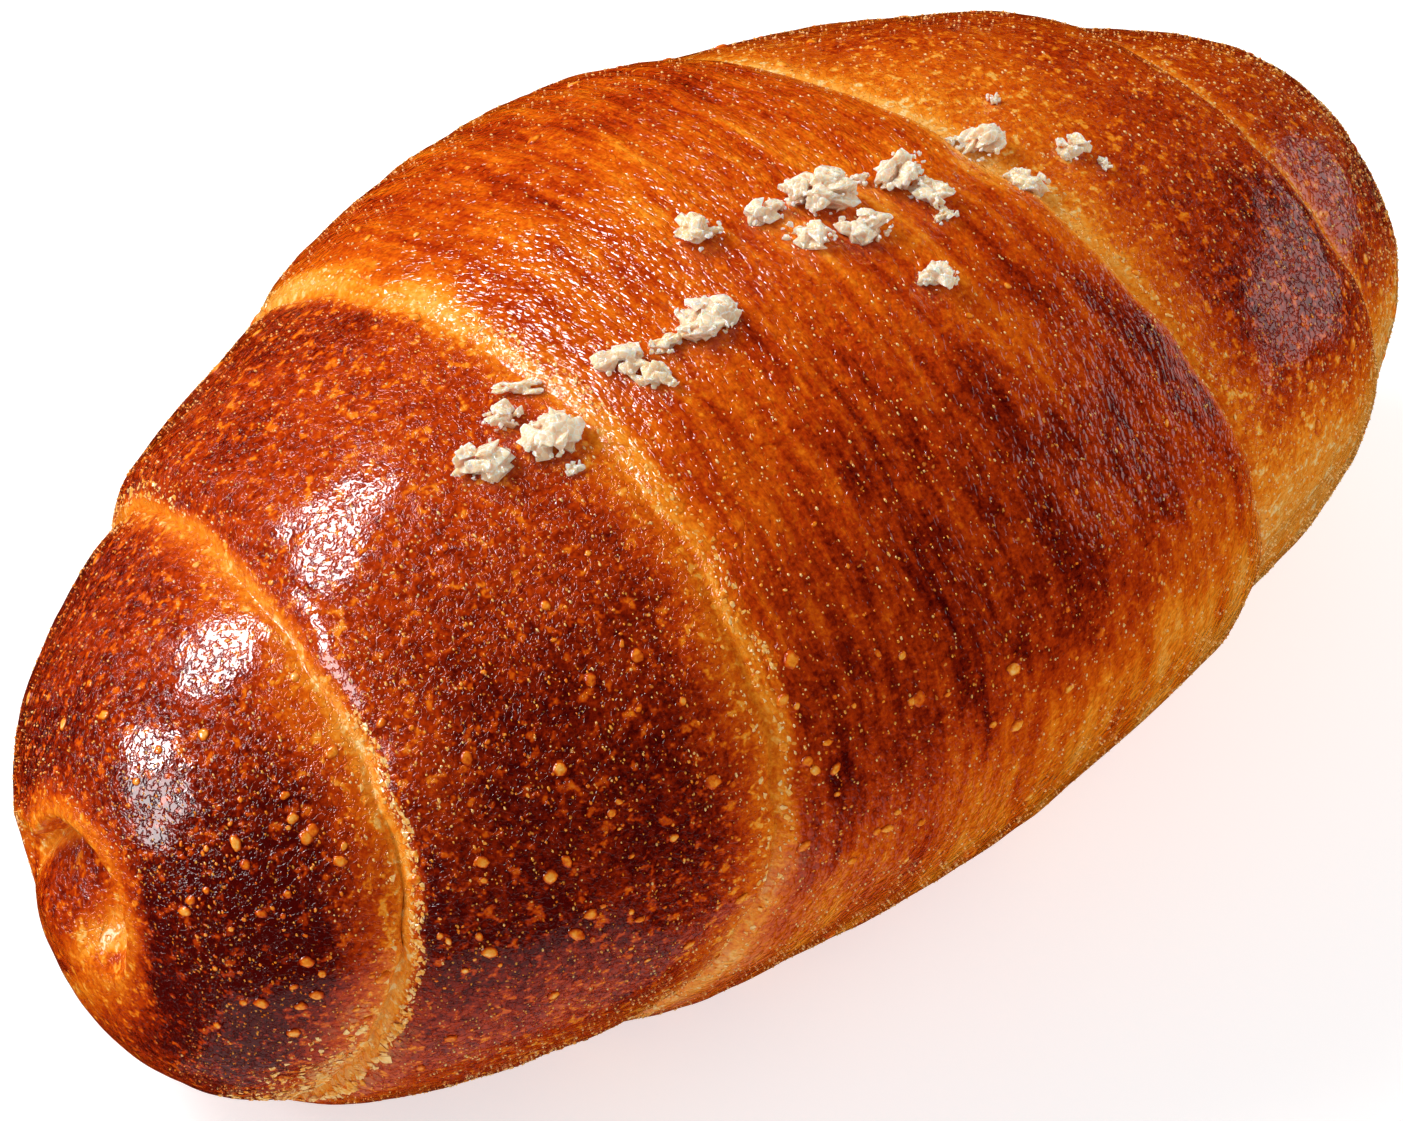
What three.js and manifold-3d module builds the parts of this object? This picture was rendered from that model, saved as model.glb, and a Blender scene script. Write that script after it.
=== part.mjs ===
import * as THREE from "three";
import { mergeVertices } from "three/addons/utils/BufferGeometryUtils.js";
import Module from "manifold-3d";

// Salt bread roll, in millimetres: a triangle of dough rolled up from its wide side and baked.
// It lies along X on a flat base, with the end that shows its coil at -X and its front at -Y.
const LENGTH = 125;
const WIDTH = 71.8;
const HEIGHT = 59.3;
const NOSE_HEIGHT = 23.6;
const WIDEST_LEVEL = 0.565;
const PRESSED_FLAT = 2.5;
const HALF_CRUST = 79;

// Outline exponents of each half, then its seams: where they start, how far they move in each turn
// and how skew they lie, as shares of the way from the middle to the nose, and their depths.
const NEAR = { taper: 1.15, bluntness: 2.55, start: 0.06, pitch: 0.3, skew: 0.15, depths: [0.9, 1.6] };
const FAR = { taper: 1.03, bluntness: 2.32, start: 0.06, pitch: 0.308, skew: 0.08, depths: [1.2, 1.2] };
const MIDDLE_BLEND = 0.2;
const FOOT_TAPER = 1.54;
const FOOT_BLUNTNESS = 1.02;
const FOOT_SQUARENESS = 0.16;
const FOOT_STARTS = 0.5;

// Seams: the tip of the dough is tucked under the roll, and its last turn lies a little skew.
const TIP_ANGLE = THREE.MathUtils.degToRad(265);
const SKEW_FADE = 0.65;
const TIP_TURNS = 0.3;
const SEAM_TURNS = [0, 1];
const LIP_WIDTH = 4.5;
const VALLEY_WIDTH = 18;
const UNDERSIDE_STARTS = 0.77;
const UNDERSIDE_FULL = 0.97;

// Coil at each end, as places on the nose towards the front and up: a round lip over a pit that is
// shallow below and open behind, where the innermost turn swells out of it as a nub with a step
// along its upper edge.
const COIL_CENTRE = new THREE.Vector2(-1, 3.2);
const COIL_RADIUS = 6.2;
const COIL_WALL = 2;
const COIL_DEPTH = 3.9;
const COIL_BELOW = { angle: THREE.MathUtils.degToRad(-85), start: 0.3, full: 0.95, edge: 1.4, wall: 2.6 };
const COIL_BEHIND = { angle: THREE.MathUtils.degToRad(225), start: 0.5, full: 1.05, edge: 8, wall: 4 };
const NUB_CENTRE = new THREE.Vector2(-4.3, -5.5);
const NUB_CROWN = 2.5;
const NUB_FOOT = 11;
const NUB_EDGE_CENTRE = new THREE.Vector2(8.4, -8.5);
const NUB_EDGE_RADIUS = 18.1;
const NUB_STEP_DEPTH = 1.2;
const NUB_STEP_WIDTH = 1.4;

// Coarse salt along the ridge: place along X and Y, then length and width, largest first.
const SALT = [
  [6.7, -3.9, 5.6, 4],
  [-27, -5.8, 4.8, 3.6],
  [-7.6, -8.2, 4.7, 3.6],
  [-22, -7.6, 4.6, 3.6],
  [7.6, -8.2, 4.4, 3],
  [13.8, -4.6, 4.2, 3],
  [22.5, -3.9, 4, 3],
  [-14.7, -6.6, 3.9, 2.8],
  [23, -8.1, 3.9, 2.6],
  [3.5, -6.6, 3.9, 2.2],
  [14.6, -7.4, 3.8, 2.6],
  [-13.8, -9.3, 3.8, 2.5],
  [-20.9, -2.5, 3.8, 1.4],
  [-3, -1.5, 3.5, 3.1],
  [2.3, -2.8, 3.2, 2.2],
  [-23.4, -3.7, 3, 2.3],
  [-11.1, -7.7, 3, 2.1],
  [9.6, -14.2, 2.9, 2.6],
  [29, -7, 2.5, 2.4],
  [14.3, -9.6, 2, 1.4],
  [10.8, -3.7, 1.7, 1.2],
  [-22.1, -10.6, 1.6, 1.2],
  [21, -2, 1.6, 1.2],
  [30.5, -8.9, 1.4, 1.2],
  [27.1, 0.1, 1.3, 1.2],
];
const SALT_SEED = 11;
const LUMPY_LENGTH = 3.7;
const LUMP_SHARE = 0.78;
const GRAIN_TALL = 0.85;
const GRAIN_SUNK = 0.22;
const GRAIN_ROUGHNESS = 0.4;

const RINGS = 84;
const COLUMNS = 60;
const NOSE_CROWDING = 1.8;
const SLOPE_STEP = 0.001;
const POLE = 0.999;
const MERGE_TOLERANCE = 0.0001;

const wasm = await Module();
wasm.setup();

const { clamp, lerp, smoothstep } = THREE.MathUtils;

function halfAt(along) {
  return along < 0 ? NEAR : FAR;
}

// A distance from the middle that starts round, so that the two halves meet without an edge.
function softDistance(share) {
  const whole = Math.hypot(1, MIDDLE_BLEND) - MIDDLE_BLEND;
  return (Math.hypot(share, MIDDLE_BLEND) - MIDDLE_BLEND) / whole;
}

function outline(distance, taper, bluntness) {
  return Math.pow(Math.max(1 - Math.pow(distance, taper), 0), 1 / bluntness);
}

function signedPower(value, exponent) {
  return Math.sign(value) * Math.pow(Math.abs(value), exponent);
}

// The plain loaf. along: -1 near nose, 0 middle, 1 far nose. around: 0 front, a quarter turn top.
function loafPoint(along, around) {
  const half = halfAt(along);
  const share = Math.sin((along * Math.PI) / 2);
  const distance = softDistance(share);
  const girth = outline(distance, half.taper, half.bluntness);
  const footGirth = outline(distance, half.taper + FOOT_TAPER, half.bluntness + FOOT_BLUNTNESS);
  const top = NOSE_HEIGHT + (HEIGHT - NOSE_HEIGHT) * girth;
  const foot = NOSE_HEIGHT - (NOSE_HEIGHT + PRESSED_FLAT) * footGirth;
  const widest = lerp(foot, top, WIDEST_LEVEL);
  const rise = Math.sin(around) > 0 ? top - widest : widest - foot;
  const squareness = 1 - FOOT_SQUARENESS * smoothstep(-Math.sin(around), FOOT_STARTS, 1);
  return new THREE.Vector3(
    (share * LENGTH) / 2,
    (-WIDTH / 2) * girth * signedPower(Math.cos(around), squareness),
    widest + rise * signedPower(Math.sin(around), squareness),
  );
}

function outwardAt(along, around) {
  if (Math.abs(along) > POLE) {
    return new THREE.Vector3(Math.sign(along), 0, 0);
  }
  const lengthwise = loafPoint(along + SLOPE_STEP, around).sub(loafPoint(along - SLOPE_STEP, around));
  const girthwise = loafPoint(along, around + SLOPE_STEP).sub(loafPoint(along, around - SLOPE_STEP));
  return lengthwise.cross(girthwise).normalize();
}

// 1 where the crust shows, falling to 0 on the underside that lay on the tray.
function shownShare(around) {
  return 1 - smoothstep(-Math.sin(around), UNDERSIDE_STARTS, UNDERSIDE_FULL);
}

// How far from the middle the free edge of a turn lies, counting turns inwards from the tip.
function seamDistance(along, turn, around) {
  const half = halfAt(along);
  const part = THREE.MathUtils.euclideanModulo((TIP_ANGLE - around) / (2 * Math.PI), 1);
  const turns = turn + part;
  const tucked = smoothstep(turns, 0, TIP_TURNS);
  const skew = half.skew * Math.cos(around) * Math.exp(-turns / SKEW_FADE) * tucked;
  return half.start + half.pitch * turns + Math.sign(along) * skew;
}

// Each turn ends in a round lip over the next one, which rises out of a shallow valley.
function seamRelief(along, around) {
  let depth = 0;
  for (const turn of SEAM_TURNS) {
    const past = (Math.abs(along) - seamDistance(along, turn, around)) * HALF_CRUST;
    const lip = clamp(1 + past / LIP_WIDTH, 0, 1);
    const valley = clamp(1 - past / VALLEY_WIDTH, 0, 1);
    depth += halfAt(along).depths[turn] * (past < 0 ? 1 - Math.sqrt(1 - lip * lip) : valley * valley);
  }
  return -depth * shownShare(around);
}

function shareTowards(side, angle) {
  return smoothstep(Math.cos(angle - side.angle), side.start, side.full);
}

// How far the coil lies back along the roll, at a place on the nose.
function coilRecess(place) {
  const offset = place.clone().sub(COIL_CENTRE);
  const below = shareTowards(COIL_BELOW, offset.angle());
  const behind = shareTowards(COIL_BEHIND, offset.angle());
  const edge = COIL_RADIUS + COIL_BELOW.edge * below + COIL_BEHIND.edge * behind;
  const wall = COIL_WALL + COIL_BELOW.wall * below + COIL_BEHIND.wall * behind;
  const inside = 1 - smoothstep(offset.length(), edge - wall, edge);
  const floor = COIL_DEPTH * smoothstep(place.distanceTo(NUB_CENTRE), NUB_CROWN, NUB_FOOT);
  const pastNub = place.distanceTo(NUB_EDGE_CENTRE) - NUB_EDGE_RADIUS;
  return inside * (floor + NUB_STEP_DEPTH * smoothstep(pastNub, 0, NUB_STEP_WIDTH));
}

function crustPoint(along, around) {
  const loaf = loafPoint(along, around);
  const recess = coilRecess(new THREE.Vector2(-loaf.y, loaf.z - NOSE_HEIGHT));
  const point = loaf.addScaledVector(outwardAt(along, around), seamRelief(along, around));
  point.x -= Math.sign(along) * recess;
  point.z = Math.max(point.z, 0);
  return point;
}

// Draws the rings of the mesh along the seams, so that each seam is one unbroken edge, and closer
// together towards the noses.
function followSeams(ring, around) {
  const even = [...SEAM_TURNS.map((turn) => halfAt(ring).start + halfAt(ring).pitch * (turn + 0.5)), 1];
  const seams = [...SEAM_TURNS.map((turn) => seamDistance(ring, turn, around)), 1];
  const distance = Math.abs(ring);
  const stretch = even.findIndex((edge) => distance <= edge);
  const evenStart = stretch > 0 ? even[stretch - 1] : 0;
  const seamStart = stretch > 0 ? seams[stretch - 1] : 0;
  const evenShare = (distance - evenStart) / (even[stretch] - evenStart);
  const crowding = stretch === SEAM_TURNS.length ? NOSE_CROWDING : 1;
  const share = 1 - Math.pow(1 - evenShare, crowding);
  const followed = lerp(seamStart, seams[stretch], share);
  const unseen = lerp(evenStart, even[stretch], share);
  return Math.sign(ring) * lerp(unseen, followed, shownShare(around));
}

function bareGeometry(geometry) {
  geometry.deleteAttribute("normal");
  geometry.deleteAttribute("uv");
  return mergeVertices(geometry, MERGE_TOLERANCE);
}

function makeCrust() {
  const geometry = new THREE.SphereGeometry(1, COLUMNS, RINGS);
  const { position, uv } = geometry.attributes;
  for (let i = 0; i < position.count; i += 1) {
    const ring = 1 - 2 * uv.getY(i);
    const atPole = Math.abs(ring) > POLE;
    const around = atPole ? 0 : 2 * Math.PI * uv.getX(i);
    const along = atPole ? ring : followSeams(ring, around);
    const point = crustPoint(along, around);
    position.setXYZ(i, point.x, point.y, point.z);
  }
  return bareGeometry(geometry);
}

function topOfCrust(x, y) {
  const along = (Math.asin((2 * x) / LENGTH) * 2) / Math.PI;
  const halfWidth = -loafPoint(along, 0).y;
  return crustPoint(along, Math.acos(clamp(-y / halfWidth, -1, 1)));
}

// One crystal: an icosahedron with uneven corners, turned at random and sunk into the crust.
function makeCrystal(place, length, width, turn) {
  const random = THREE.MathUtils.seededRandom;
  const geometry = bareGeometry(new THREE.IcosahedronGeometry(0.5, 0));
  const { position } = geometry.attributes;
  const corner = new THREE.Vector3();
  for (let i = 0; i < position.count; i += 1) {
    corner.fromBufferAttribute(position, i).multiplyScalar(1.2 - GRAIN_ROUGHNESS * random());
    position.setXYZ(i, corner.x, corner.y, corner.z);
  }
  const tall = width * GRAIN_TALL;
  geometry.rotateX(Math.PI * random());
  geometry.scale(length, width, tall);
  geometry.rotateZ(turn);
  geometry.translate(place.x, place.y, place.z + tall * (0.5 - GRAIN_SUNK));
  return geometry;
}

function makeGrain([x, y, length, width]) {
  const turn = Math.PI * THREE.MathUtils.seededRandom();
  if (length < LUMPY_LENGTH) {
    return [makeCrystal(topOfCrust(x, y), length, width, turn)];
  }
  const apart = (length * (1 - LUMP_SHARE)) / 2;
  return [-apart, apart].map((shift) => {
    const place = topOfCrust(x + shift * Math.cos(turn), y + shift * Math.sin(turn));
    return makeCrystal(place, length * LUMP_SHARE, width, turn + shift);
  });
}

function toSolid(geometry) {
  const mesh = new wasm.Mesh({
    numProp: 3,
    vertProperties: new Float32Array(geometry.attributes.position.array),
    triVerts: new Uint32Array(geometry.index.array),
  });
  return new wasm.Manifold(mesh);
}

function toGeometry(solid) {
  const mesh = solid.getMesh();
  const geometry = new THREE.BufferGeometry();
  geometry.setAttribute("position", new THREE.BufferAttribute(mesh.vertProperties, 3));
  geometry.setIndex(new THREE.BufferAttribute(mesh.triVerts, 1));
  geometry.computeVertexNormals();
  return geometry;
}

THREE.MathUtils.seededRandom(SALT_SEED);
let bread = toSolid(makeCrust());
for (const crystal of SALT.flatMap(makeGrain)) {
  bread = bread.add(toSolid(crystal));
}

const crustMaterial = new THREE.MeshStandardMaterial({ color: 0xb05a1e, roughness: 0.4, metalness: 0 });
const roll = new THREE.Mesh(toGeometry(bread), crustMaterial);
roll.name = "roll";

const saltBread = new THREE.Group();
saltBread.add(roll);

export default saltBread;
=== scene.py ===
import math

import bmesh
import bpy
import numpy as np
from mathutils import Matrix, Vector
from mathutils.bvhtree import BVHTree


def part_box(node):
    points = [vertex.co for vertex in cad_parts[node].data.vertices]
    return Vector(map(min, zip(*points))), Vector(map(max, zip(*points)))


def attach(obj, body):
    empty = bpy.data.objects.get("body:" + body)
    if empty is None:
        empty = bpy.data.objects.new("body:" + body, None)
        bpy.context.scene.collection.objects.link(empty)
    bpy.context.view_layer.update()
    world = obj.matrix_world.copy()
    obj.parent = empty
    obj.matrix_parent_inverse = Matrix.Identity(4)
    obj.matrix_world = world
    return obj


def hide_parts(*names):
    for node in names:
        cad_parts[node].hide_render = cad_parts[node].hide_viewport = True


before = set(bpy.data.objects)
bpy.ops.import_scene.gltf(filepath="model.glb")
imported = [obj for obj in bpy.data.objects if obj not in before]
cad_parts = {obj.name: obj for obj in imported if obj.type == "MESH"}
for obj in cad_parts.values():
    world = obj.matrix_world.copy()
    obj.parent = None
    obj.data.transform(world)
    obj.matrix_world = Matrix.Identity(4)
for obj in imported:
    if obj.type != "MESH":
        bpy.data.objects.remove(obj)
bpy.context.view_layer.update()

bpy.ops.object.select_all(action="DESELECT")


# The crust: one sheet of dough, cut as a long triangle, rolled up from its wide side and baked.
# Each outer turn ends in a round lip, and the turn under it rises out of a shallow valley.
# The roll lies with the tip of the triangle under it, on a base that the tray pressed flat.
MM = 0.001
NODE_LOW, NODE_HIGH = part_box("roll")
LENGTH = (NODE_HIGH.x - NODE_LOW.x) / MM
WIDTH = (NODE_HIGH.y - NODE_LOW.y) / MM
HEIGHT = 59.3
NOSE_HEIGHT = 23.6
WIDEST_LEVEL = 0.565
PRESSED_FLAT = 2.5
HALF_CRUST = 79
MIDDLE_BLEND = 0.2
FOOT_TAPER = 1.54
FOOT_BLUNTNESS = 1.02
FOOT_SQUARENESS = 0.16
FOOT_STARTS = 0.5
# Near half first, then far half: outline exponents, where the seams start, their pitch, how skew
# they lie, and the depth of the outer and the inner seam.
TAPER = (1.15, 1.03)
BLUNTNESS = (2.55, 2.32)
SEAM_START = (0.06, 0.06)
SEAM_PITCH = (0.3, 0.308)
SEAM_SKEW = (0.15, 0.08)
SEAM_DEPTHS = ((0.9, 1.2), (1.6, 1.2))
TIP_ANGLE = math.radians(265)
SKEW_FADE = 0.65
TIP_TURNS = 0.3
LIP_WIDTH = 4.5
LIP_ROUNDNESS = 2.5
VALLEY_WIDTH = 18
VALLEY_ROUNDNESS = 2
UNDERSIDE_STARTS = 0.77
UNDERSIDE_FULL = 0.97
# The coil at each end, as places on the nose towards the front and up: a round lip over a pit that
# is shallow below and open behind, where the innermost turn swells out of it as a nub.
COIL_CENTRE = (-1, 3.2)
COIL_RADIUS = 6.2
COIL_WALL = 2
COIL_DEPTH = 3.9
COIL_BELOW = {"angle": math.radians(-85), "start": 0.3, "full": 0.95, "edge": 1.4, "wall": 2.6}
COIL_BEHIND = {"angle": math.radians(225), "start": 0.5, "full": 1.05, "edge": 8, "wall": 4}
NUB_CENTRE = (-4.3, -5.5)
NUB_CROWN = 2.5
NUB_FOOT = 11
NUB_EDGE_CENTRE = (8.4, -8.5)
NUB_EDGE_RADIUS = 18.1
NUB_STEP_DEPTH = 1.2
NUB_STEP_WIDTH = 1.4

# The mesh: its columns and rings, the rings up to each seam, and how they crowd beside it.
COLUMNS = 256
HALF_RINGS = 192
RINGS_TO_SEAMS = (38, 90)
CROWDING = 0.5
POLE = 0.998
SMALL_STEP = 0.001


def smoothstep(value, start, end):
    share = np.clip((value - start) / (end - start), 0, 1)
    return share * share * (3 - 2 * share)


def bump_round(value, middle, width):
    return np.exp(-(((value - middle) / width) ** 2))


def of_half(along, pair):
    return np.where(along < 0, pair[0], pair[1])


def soft_distance(share):
    whole = math.hypot(1, MIDDLE_BLEND) - MIDDLE_BLEND
    return (np.hypot(share, MIDDLE_BLEND) - MIDDLE_BLEND) / whole


def outline(distance, taper, bluntness):
    return np.maximum(1 - distance**taper, 0) ** (1 / bluntness)


def signed_power(value, exponent):
    return np.sign(value) * np.abs(value) ** exponent


def loaf_point(along, around):
    share = np.sin(along * math.pi / 2)
    distance = np.clip(soft_distance(share), 0, 1)
    taper = of_half(along, TAPER)
    bluntness = of_half(along, BLUNTNESS)
    girth = outline(distance, taper, bluntness)
    foot_girth = outline(distance, taper + FOOT_TAPER, bluntness + FOOT_BLUNTNESS)
    top = NOSE_HEIGHT + (HEIGHT - NOSE_HEIGHT) * girth
    foot = NOSE_HEIGHT - (NOSE_HEIGHT + PRESSED_FLAT) * foot_girth
    widest = foot + (top - foot) * WIDEST_LEVEL
    up = np.sin(around)
    rise = np.where(up > 0, top - widest, widest - foot)
    exponent = 1 - FOOT_SQUARENESS * smoothstep(-up, FOOT_STARTS, 1)
    across = -WIDTH / 2 * girth * signed_power(np.cos(around), exponent)
    return np.stack([share * LENGTH / 2, across, widest + rise * signed_power(up, exponent)], -1)


def outward_at(along, around):
    step = SMALL_STEP
    lengthwise = loaf_point(along + step, around) - loaf_point(along - step, around)
    girthwise = loaf_point(along, around + step) - loaf_point(along, around - step)
    normal = np.cross(lengthwise, girthwise)
    normal /= np.linalg.norm(normal, axis=-1, keepdims=True) + 1e-12
    at_pole = np.abs(along) > POLE
    normal[at_pole] = 0
    normal[at_pole, 0] = np.sign(along[at_pole])
    return normal


def shown_share(around):
    return 1 - smoothstep(-np.sin(around), UNDERSIDE_STARTS, UNDERSIDE_FULL)


# The dough's edge was cut and stretched by hand, so it wanders a little along each seam, in waves
# of these heights in millimetres, each with its pace, start and difference between the halves.
EDGE_WAVES = ((0.45, 9.1, 0, 2.1), (0.3, 21.7, 1.3, 1), (0.16, 83, 0, 0.7), (0.1, 151, 2.9, 0))


def edge_wander(turns, side):
    wander = 0 * turns
    for height, pace, start, shift in EDGE_WAVES:
        wander = wander + height * np.sin(pace * turns + start + shift * side)
    return wander / HALF_CRUST


def seam_distance(along, turn, around):
    part = np.mod((TIP_ANGLE - around) / (2 * math.pi), 1)
    turns = turn + part
    side = np.where(along < 0, -1, 1)
    tucked = smoothstep(turns, 0, TIP_TURNS)
    skew = of_half(along, SEAM_SKEW) * np.cos(around) * np.exp(-turns / SKEW_FADE) * tucked
    wander = edge_wander(turns, side) * tucked * shown_share(around)
    return of_half(along, SEAM_START) + of_half(along, SEAM_PITCH) * turns + side * skew + wander


# Where the turns start and end, counted from the middle of the roll to its end.
def turn_edges(along, around):
    seams = [seam_distance(along, turn, around) for turn in (0, 1)]
    return [0 * along, *seams, 0 * along + 1]


# Draws the rings of the mesh along the seams and closer together beside them.
def follow_seams(ring, around):
    distance = np.abs(ring) * HALF_RINGS
    ring_edges = (0, *RINGS_TO_SEAMS, HALF_RINGS)
    edges = turn_edges(ring, around)
    followed = 0 * ring
    for start, end, near_seam, far_seam in zip(ring_edges, ring_edges[1:], edges, edges[1:]):
        share = np.clip((distance - start) / (end - start), 0, 1)
        crowded = share - CROWDING * np.sin(2 * math.pi * share) / (2 * math.pi)
        inside = (distance >= start) & (distance <= end)
        followed = np.where(inside, near_seam + (far_seam - near_seam) * crowded, followed)
    shown = shown_share(around)
    return np.sign(ring) * (np.abs(ring) * (1 - shown) + followed * shown)


def past_seam(along, turn, around):
    return (np.abs(along) - seam_distance(along, turn, around)) * HALF_CRUST


def seam_relief(along, around):
    depth = 0 * along
    for turn in (0, 1):
        past = past_seam(along, turn, around)
        lip = np.clip(1 + past / LIP_WIDTH, 0, 1)
        round_lip = np.where(along < 0, lip**LIP_ROUNDNESS, 1 - np.sqrt(1 - lip**2))
        valley = np.clip(1 - past / VALLEY_WIDTH, 0, 1)
        fall = np.where(past < -SMALL_STEP, round_lip, valley**VALLEY_ROUNDNESS)
        depth += of_half(along, SEAM_DEPTHS[turn]) * fall
    return -depth * shown_share(around)


def nose_place(along, around):
    loaf = loaf_point(along, around)
    return -loaf[..., 1], loaf[..., 2] - NOSE_HEIGHT


def coil_shares(front, up):
    radius = np.hypot(front - COIL_CENTRE[0], up - COIL_CENTRE[1])
    angle = np.arctan2(up - COIL_CENTRE[1], front - COIL_CENTRE[0])
    edge = COIL_RADIUS + 0 * radius
    wall = COIL_WALL + 0 * radius
    towards = []
    for side in (COIL_BELOW, COIL_BEHIND):
        share = smoothstep(np.cos(angle - side["angle"]), side["start"], side["full"])
        edge = edge + side["edge"] * share
        wall = wall + side["wall"] * share
        towards.append(share)
    inside = 1 - smoothstep(radius, edge - wall, edge)
    past_nub = np.hypot(front - NUB_EDGE_CENTRE[0], up - NUB_EDGE_CENTRE[1]) - NUB_EDGE_RADIUS
    return radius - edge, inside, towards[0], past_nub


def coil_recess(along, around):
    front, up = nose_place(along, around)
    _, inside, _, past_nub = coil_shares(front, up)
    from_nub = np.hypot(front - NUB_CENTRE[0], up - NUB_CENTRE[1])
    floor_depth = COIL_DEPTH * smoothstep(from_nub, NUB_CROWN, NUB_FOOT)
    return inside * (floor_depth + NUB_STEP_DEPTH * smoothstep(past_nub, 0, NUB_STEP_WIDTH))


# Where two edges meet, the skin has torn a little, deepest low on the front and back.
CRACK_DEPTH = 0.45
CRACK_WIDTH = 0.3
CRACK_PAST = 0.25
CRACK_CLOSES = 0.6
CRACK_CLOSING = (0.2, 0.9)


def crack_relief(along, around):
    depth = 0 * along
    for turn in (0, 1):
        past = past_seam(along, turn, around)
        depth += bump_round(past, CRACK_PAST, CRACK_WIDTH)
    low = 1 - CRACK_CLOSES * smoothstep(np.sin(around), *CRACK_CLOSING)
    return -CRACK_DEPTH * depth * low * shown_share(around)


# The outer turn was stretched round the roll, which drew long low ridges beside its edges.
RIDGE_HEIGHT = 0.1
RIDGES_STOP = 3
RIDGED_TOP = (0.1, 0.8)
TURN_WIDTHS = (17, 14, 14)


# How far a place lies from the middle, counted in turns, so that it stays even along each seam.
def across_turns(along, around):
    edges = turn_edges(along, around)
    across = 0 * along
    for width, start, end in zip(TURN_WIDTHS, edges, edges[1:]):
        across += width * np.clip((np.abs(along) - start) / (end - start), 0, 1)
    return np.sign(along) * across


# Three sets of ridges, about 5, 3 and 2 mm apart, that drift sideways and fade in and out as they
# go round the roll.
def ridge_wave(along, around):
    across = across_turns(along, around)
    drift = 1.1 * np.sin(1.7 * around) + 0.5 * np.sin(4.1 * around + 1)
    broad = np.sin(1.2 * (across + drift)) * np.sin(2.6 * around + 0.35 * across)
    middling = np.sin(2.1 * (across + 0.7 * drift) + 1.7) * np.sin(3.7 * around - 0.5 * across + 1)
    fine = np.sin(3.3 * across + 2 * np.sin(2.3 * around)) * np.sin(5.1 * around + 0.8 * across)
    wave = broad + 0.7 * middling + 0.5 * fine
    outer = 1 - smoothstep(past_seam(along, 0, around), -RIDGES_STOP, 0)
    return wave * outer * smoothstep(np.sin(around), *RIDGED_TOP)


def crust_point(along, around):
    relief = seam_relief(along, around) + crack_relief(along, around)
    relief = relief + RIDGE_HEIGHT * ridge_wave(along, around)
    point = loaf_point(along, around) + outward_at(along, around) * relief[..., None]
    point[..., 0] -= np.sign(along) * coil_recess(along, around)
    point[..., 2] = np.maximum(point[..., 2], 0)
    return point


def read_rows(items, name, columns=3, kind=float):
    values = np.empty(len(items) * columns, kind)
    items.foreach_get(name, values)
    return values.reshape(-1, columns)


bpy.ops.mesh.primitive_uv_sphere_add(segments=COLUMNS, ring_count=2 * HALF_RINGS, radius=1)
crust = bpy.context.object
crust.name = "crust"
sphere = read_rows(crust.data.vertices, "co")
ring = np.round(np.arcsin(np.clip(sphere[:, 2], -1, 1)) * 2 / math.pi * HALF_RINGS) / HALF_RINGS
around = np.arctan2(sphere[:, 1], -sphere[:, 0])
along = np.where(np.abs(ring) > POLE, ring, follow_seams(ring, around))
crust.data.vertices.foreach_set("co", (crust_point(along, around) * MM).ravel())
crust.data.update()

# Browning, from 0 for pale dough to 1 for the darkest brown. It is strongest on the flanks,
# fades towards the base, and the dough that a lip covered while it rose stays golden.
SEAM_GOLD = 0.38
SEAM_PALE = 0.16
PALE_SHARE = 0.8
BEHIND_LIKE_TOP = 0.78
RIDGE_GOLD = 0.04
FAR_PALER = 0.05
FAR_PALER_ALONG = (-0.02, 0.26)
TOP_DEGREES = (45, 80)
BEHIND_DEGREES = (95, 125)
TURNS = {
    "near cap": {"top": 0.84, "flank": 1.02, "base": 0.77, "low": -48, "soft": 30},
    "near turn": {"top": 0.72, "flank": 0.97, "base": 0.68, "low": -14, "soft": 26},
    "outer turn": {"top": 0.57, "flank": 0.86, "base": 0.49, "low": 2, "soft": 20},
    "far turn": {"top": 0.56, "flank": 0.84, "base": 0.29, "low": 13, "soft": 18},
    "far cap": {"top": 0.7, "flank": 0.79, "base": 0.18, "low": 12, "soft": 22},
}
# The oven browned it unevenly: where along and how far round, reach of each, and how much browner.
BROWNER_PLACES = (
    ("outer turn", -0.165, 49, 0.075, 17, -0.26),
    ("outer turn", 0.1, 53, 0.14, 10, -0.12),
    ("outer turn", 0.12, 74, 0.1, 8, 0.06),
    ("outer turn", -0.12, 98, 0.09, 16, 0.06),
    ("near turn", -0.47, 46, 0.07, 16, -0.18),
    ("near turn", -0.28, 45, 0.07, 20, -0.12),
    ("near turn", -0.33, -2, 0.04, 16, -0.08),
    ("near cap", -0.69, 22, 0.07, 20, 0.1),
    ("near cap", -0.77, 80, 0.06, 15, 0.12),
    ("near cap", -0.6, 115, 0.1, 15, -0.06),
    ("outer turn", -0.04, 26, 0.05, 9, -0.08),
    ("far turn", 0.46, 82, 0.11, 26, 0.19),
)
OUTER_REACH = 0.2
OUTER_SHIFT = 35
OUTER_PALER = 0.3
# Width of the golden strip beside each seam, in millimetres, at these degrees round the roll:
# low in front, in front, over the ridge, behind it and low behind.
STRIP_DEGREES = (-30, 25, 90, 125, 200)
VALLEY_GOLD = {
    "near cap": (12, 10, 6.5, 4.5, 9),
    "near turn": (7, 6.5, 2.5, 1.2, 5),
    "far turn": (5, 8, 8, 7, 5),
    "far cap": (3, 3, 3, 3, 3),
}
VALLEY_HOLD = 0.3
LIP_GOLD = {
    "near turn": (1.6, 2.2, 1.5, 1.1, 1.6),
    "near outer turn": (2.2, 2.2, 2.2, 4.5, 5),
    "far outer turn": (1.5, 1.6, 0.7, 0.7, 1),
    "far turn": (1, 0.7, 0.7, 0.7, 1),
}
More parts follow.
